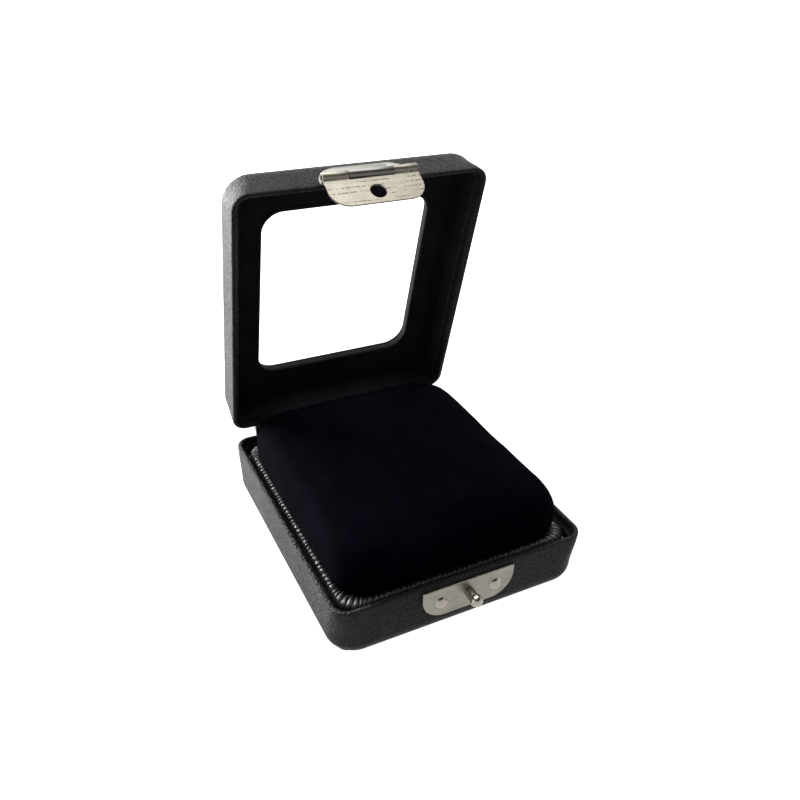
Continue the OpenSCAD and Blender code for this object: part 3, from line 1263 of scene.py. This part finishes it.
@dataclass
class PleatedBorder:
    """The satin gathered in narrow pleats between the pad's foot and the rim."""

    half_x: float = 41.6
    half_y: float = 47.6
    radius: float = 6.4
    pad_x: float = 37.8
    pad_y: float = 43.8
    pad_radius: float = 9.4
    pitch: float = 1.85
    low_z: float = 15.05
    crest_z: float = 19.3
    per_pleat: int = 10
    seed: int = 21
    ceiling_z: float = 19.55
    widths: tuple[float, float] = (0.72, 1.3)
    heights: tuple[float, float] = (0.78, 1.15)
    leans: tuple[float, float] = (-0.28, 0.28)
    drops: tuple[float, float] = (-0.18, 0.12)
    fold_depth: float = 0.72
    rows: tuple[tuple[float, float, float], ...] = (
        (0.0, 0.0, 0.0), (0.0, 0.4, 0.15), (0.03, 0.68, 0.5), (0.12, 0.88, 0.9),
        (0.28, 0.98, 1.0), (0.45, 1.0, 1.0), (0.62, 0.97, 1.0), (0.78, 0.86, 0.95),
        (0.92, 0.7, 0.8), (1.02, 0.5, 0.6),
    )

    def outline(self, half_x: float, half_y: float, radius: float, count: int) -> Points:
        """Evenly spaced points round a rounded rectangle.

        Args:
            half_x: Half its width.
            half_y: Half its depth.
            radius: Its corner radius.
            count: How many points.

        Returns:
            Rows of x, y.
        """
        loop = plan_loop(half_x, half_y, radius, 24)
        ends = np.vstack((loop, loop[:1]))
        run = np.concatenate(([0], np.cumsum(np.linalg.norm(np.diff(ends, axis=0), axis=1))))
        at = np.linspace(0, run[-1], count, endpoint=False)
        return np.column_stack([np.interp(at, run, ends[:, k]) for k in (0, 1)])

    def matched(self, outer: Points) -> Points:
        """For each outer point, the point on the pad's foot that a pleat runs to.

        Args:
            outer: Points on the outer outline.

        Returns:
            Points on the pad's foot, in the same order.
        """
        core_x = self.pad_x - self.pad_radius
        core_y = self.pad_y - self.pad_radius
        cx = np.clip(outer[:, 0], -core_x, core_x)
        cy = np.clip(outer[:, 1], -core_y, core_y)
        centre = np.column_stack((cx, cy))
        way = outer - centre
        way /= np.linalg.norm(way, axis=1, keepdims=True)
        return centre + way * self.pad_radius

    def shape(self) -> Shape:
        """The pleated band as a closed solid."""
        rng = np.random.default_rng(self.seed)
        length = 4 * (self.half_x + self.half_y) - (8 - 2 * math.pi) * self.radius
        pleats = int(length / self.pitch)
        count = pleats * self.per_pleat
        widths = rng.uniform(*self.widths, pleats)
        edges = np.concatenate(([0], np.cumsum(widths))) / widths.sum()
        at = (np.arange(count) + 0.5) / count
        which = np.minimum(np.searchsorted(edges, at, side="right") - 1, pleats - 1)
        inside = (at - edges[which]) / (edges[which + 1] - edges[which])
        height = rng.uniform(*self.heights, pleats)[which]
        lean = rng.uniform(*self.leans, pleats)[which]
        ridge = np.sin(math.pi * inside ** np.exp(lean)) ** 0.62 * height
        drop = rng.uniform(*self.drops, pleats)[which]
        outer = self.outline(self.half_x, self.half_y, self.radius, count)
        inner = self.matched(outer)
        outward = outer - inner
        outward /= np.linalg.norm(outward, axis=1, keepdims=True)
        loops = []
        for run, rise, depth in self.rows:
            plan = outer + (inner - outer) * run
            z = self.low_z + (self.crest_z - self.low_z) * rise
            fold = self.fold_depth * depth * (ridge - 1.0)
            z_fold = z + fold * (0.35 + 0.65 * rise) + drop * depth * rise
            plan = plan + outward * (fold * 0.45 * (1 - run))[:, None]
            loops.append(ring(plan, z_fold))
        loops.append(ring(outer + (inner - outer) * self.rows[-1][0], self.low_z))
        return loft(loops, closed=True)

    def build(self) -> None:
        """Makes the pleated border."""
        points, faces = self.shape()
        points[:, 2] = np.clip(points[:, 2], self.low_z, self.ceiling_z)
        border = make_piece("pleated_satin_border", (points, faces), PLEATED, 180)
        settle(border, Body.BASE, ["pleated_border"])


@dataclass
class HingeStrip:
    """The strip of covering cloth that bridges the hinge inside the box."""

    half_width: float = 34.6
    inner_y: float = 48.0
    near: float = 0.12
    thickness: float = 0.42
    base_low: float = 19.4
    base_high: float = 20.9
    lid_low: float = 20.5
    lid_high: float = 23.8
    columns: int = 60
    rows: int = 26
    bend_first: int = 3
    bend_last: int = -5
    ripple: float = 0.09
    ripple_pitch: float = 7.0
    ripple_seed: int = 31

    def path(self) -> Points:
        """The strip's section from the base's inner wall to the lid's, at rest.

        Returns:
            Rows of y, z.
        """
        y = self.inner_y - self.near
        shut = np.array([[0.0, y, self.lid_low], [0.0, y, self.lid_high]])
        opened = TURN.open(shut)[:, 1:]
        keys = np.array(
            [[y, self.base_low], [y, self.base_high], opened[0], opened[1]]
        )
        rows = []
        for share in np.linspace(0, 1, self.rows):
            a = 1 - share
            b = share
            weights = np.array([a**3, 3 * a * a * b, 3 * a * b * b, b**3])
            rows.append(weights @ keys)
        return np.array(rows)

    def shape(self) -> Shape:
        """The strip as a thin closed sheet with soft ripples across it."""
        section = self.path()
        slope = np.gradient(section, axis=0)
        normal = np.column_stack((-slope[:, 1], slope[:, 0]))
        normal /= np.linalg.norm(normal, axis=1, keepdims=True)
        xs = np.linspace(-self.half_width, self.half_width, self.columns)
        share = np.linspace(0, 1, self.rows)
        loops = []
        for x in xs:
            place = np.column_stack((np.full(self.rows, x), section))
            waves = soft_noise(self.ripple_seed, place[:, [0, 2]], self.ripple_pitch)
            ripple = self.ripple * waves * np.sin(math.pi * share)
            front = section + normal * ripple[:, None]
            behind = front - normal * self.thickness
            around = np.vstack((front, behind[::-1]))
            loops.append(np.column_stack((np.full(len(around), x), around)))
        return loft(loops, True, True)

    def build(self) -> None:
        """Makes the strip, whose shape is drawn curved from the base to the lid at rest."""
        strip = make_piece("hinge_cloth", self.shape(), LINING, 50)
        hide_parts("hinge_strip")
        section = self.path()
        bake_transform(strip)


# ---- metal and carried-over nodes ----------------------------------------------------------


@dataclass
class Fittings:
    """The metal parts, the pane and the hidden cards, which keep their own shapes."""

    bevel: float = 0.14
    flap_tilt: float = 18.0
    same_plane: float = 0.5
    sharp: float = 42.0

    def engraved(self) -> Finish:
        """The flap's finish, with its rows across the flap's hanging direction, and its nickel
        painted darker as painted shade.
        """
        lean = TURN.angle - math.radians(self.flap_tilt)
        own = frame["nodes"]["hasp_flap"].matrix_world.to_3x3().inverted()
        down = own @ Vector((0.0, -math.sin(lean), -math.cos(lean)))
        # bright and dull sit far below nickel's own colour: painted shade for how the lamps and
        # floor fall on the flap.
        bright = (0.18, 0.168, 0.138)
        dull = (0.15, 0.138, 0.112)
        return EngravedNickel("nickel_engraved_rows_painted_shade", bright, dull, 0.36, across=tuple(down))

    def dress(self, node: str, finish: Finish, bevel: float) -> None:
        """Gives a CAD node its finish and, if it has sharp edges, a small bevel.

        Args:
            node: The node.
            finish: The finish.
            bevel: The bevel's width in millimetres, or 0 for none.
        """
        piece = frame["nodes"][node]
        piece.data.materials.clear()
        piece.data.materials.append(finish.material())
        if bevel:
            weld = piece.modifiers.new("weld", "WELD")
            weld.merge_threshold = 1e-6
            flat = piece.modifiers.new("whole_faces", "DECIMATE")
            flat.decimate_type = "DISSOLVE"
            flat.angle_limit = math.radians(self.same_plane)
            soft = piece.modifiers.new("soft_edges", "BEVEL")
            soft.width = bevel * MM
            soft.segments = 2
            soft.limit_method = "ANGLE"
            soft.angle_limit = math.radians(self.sharp)
            soft.harden_normals = True
        LOG.info("%s keeps its own shape", node)

    def build(self) -> None:
        """Dresses every node that stays."""
        engraved = self.engraved()
        plan: tuple[tuple[str, Finish, float], ...] = (
            ("clasp_plate", SATIN_PLATE_PAINTED_SHADE, self.bevel),
            ("clasp_rivets", POLISHED_PAINTED_SHADE, 0.0),
            ("clasp_stud", POLISHED_PAINTED_SHADE, 0.0),
            ("hasp_leaf", PLATE_PAINTED_SHADE, self.bevel),
            ("hasp_rivets", POLISHED_PAINTED_SHADE, 0.0),
            ("hasp_pin", POLISHED_PAINTED_SHADE, 0.0),
            ("hasp_flap", engraved, self.bevel),
            ("hinge_leaf_base", LACQUER, self.bevel),
            ("hinge_leaf_lid", LACQUER, self.bevel),
            ("hinge_rivets_base", LACQUER, 0.0),
            ("hinge_rivets_lid", LACQUER, 0.0),
            ("hinge_pin", WIRE, 0.0),
            ("pad_riser", CARD, 0.0),
            ("pad_board", CARD, 0.0),
            ("window_pane", PANE, 0.0),
        )
        for node, finish, bevel in plan:
            self.dress(node, finish, bevel)


# ---- studio --------------------------------------------------------------------------------


@dataclass
class Lamp:
    """One soft rectangular lamp aimed at the box."""

    name: str
    place: tuple[float, float, float]
    size: float
    power: float
    aim: tuple[float, float, float] = (0.0, 0.02, 0.05)

    def build(self) -> None:
        """Makes the lamp."""
        data = bpy.data.lights.new(self.name, "AREA")
        data.shape = "SQUARE"
        data.size = self.size
        data.energy = self.power
        lamp = bpy.data.objects.new(self.name, data)
        lamp.location = self.place
        way = Vector(self.aim) - Vector(self.place)
        lamp.rotation_mode = "QUATERNION"
        lamp.rotation_quaternion = way.to_track_quat("-Z", "Y")
        bpy.context.scene.collection.objects.link(lamp)


@dataclass
class Studio:
    """A plain pale floor, soft light, and the camera."""

    azimuth: float = -27.378
    elevation: float = 31.170
    roll: float = 1.767
    lens: float = 36.28
    sensor: float = 36.0
    clip_near: float = 0.005
    clip_far: float = 50.0
    place: tuple[float, float, float] = (-0.106806, -0.206552, 0.196309)
    ambient: float = 0.5
    sky_way: tuple[float, float, float] = (-0.3, 0.5, 0.81)
    sky_from: float = -0.1
    sky_to: float = 0.9
    floor_section: Profile = (
        (0.3, 0.0), (1.0, 0.0), (3.0, 0.0), (4.2, 0.15), (5.2, 0.7), (5.8, 1.6), (6.0, 2.8),
    )
    lamps: tuple[Lamp, ...] = (
        Lamp("top_soft", (0.0, 0.35, 0.9), 1.0, 20.0),
        Lamp("left_soft", (-0.5, 0.8, 0.17), 0.45, 44.0),
    )

    def camera(self) -> None:
        """Makes the camera and looks through it."""
        a, e, r = (math.radians(v) for v in (self.azimuth, self.elevation, self.roll))
        back = Vector((math.sin(a) * math.cos(e), -math.cos(a) * math.cos(e), math.sin(e)))
        right = Vector((math.cos(a), math.sin(a), 0.0))
        up = back.cross(right)
        across = right * math.cos(r) + up * math.sin(r)
        above = up * math.cos(r) - right * math.sin(r)
        data = bpy.data.cameras.new("camera")
        data.lens = self.lens
        data.sensor_width = self.sensor
        data.clip_start = self.clip_near
        data.clip_end = self.clip_far
        camera = bpy.data.objects.new("camera", data)
        turn = Matrix((across, above, back)).transposed()
        camera.matrix_world = Matrix.Translation(self.place) @ turn.to_4x4()
        bpy.context.scene.collection.objects.link(camera)
        bpy.context.scene.camera = camera

    def floor(self) -> None:
        """Makes the floor: a wide disc under the box, whose far edge curves up all round."""
        spokes = 96
        turns = np.linspace(0, 2 * math.pi, spokes, endpoint=False)
        z = CAD_LOW.z / MM - 0.02
        circle = np.column_stack((np.cos(turns), np.sin(turns)))
        loops = [ring(circle * (r / MM), z + rise / MM) for r, rise in self.floor_section]
        floor = make_piece("floor", loft(loops, True, False), Floor("pale_floor"))

    def world(self) -> None:
        """Sets the even surrounding light and a plain colour response."""
        world = bpy.data.worlds.new("studio")
        world.use_nodes = True
        graph = Graph(world.node_tree)
        toward = graph.node("ShaderNodeTexCoord", {}, {}, "Generated")
        fade = graph.dot(toward, self.sky_way).step(self.sky_from, self.sky_to)
        sky = world.node_tree.nodes["Background"]
        graph.feed(sky, {"Color": fade, "Strength": self.ambient})
        scene = bpy.context.scene
        scene.world = world
        scene.view_settings.view_transform = "Standard"

    def build(self) -> None:
        """Makes the whole studio."""
        self.camera()
        self.floor()
        self.world()
        for lamp in self.lamps:
            lamp.build()


def main() -> None:
    """Builds the studio and every sub-assembly, in order."""
    logging.basicConfig(level=logging.INFO, format="%(name)s: %(message)s")
    Studio().build()
    CaseHalf(Body.BASE, 20.6, 0.0).build()
    LidHalf(Body.LID, 16.4, 37.2).build()
    Linings().build()
    VelvetPad().build()
    PleatedBorder().build()
    HingeStrip().build()
    Fittings().build()


if __name__ == "__main__":
    main()
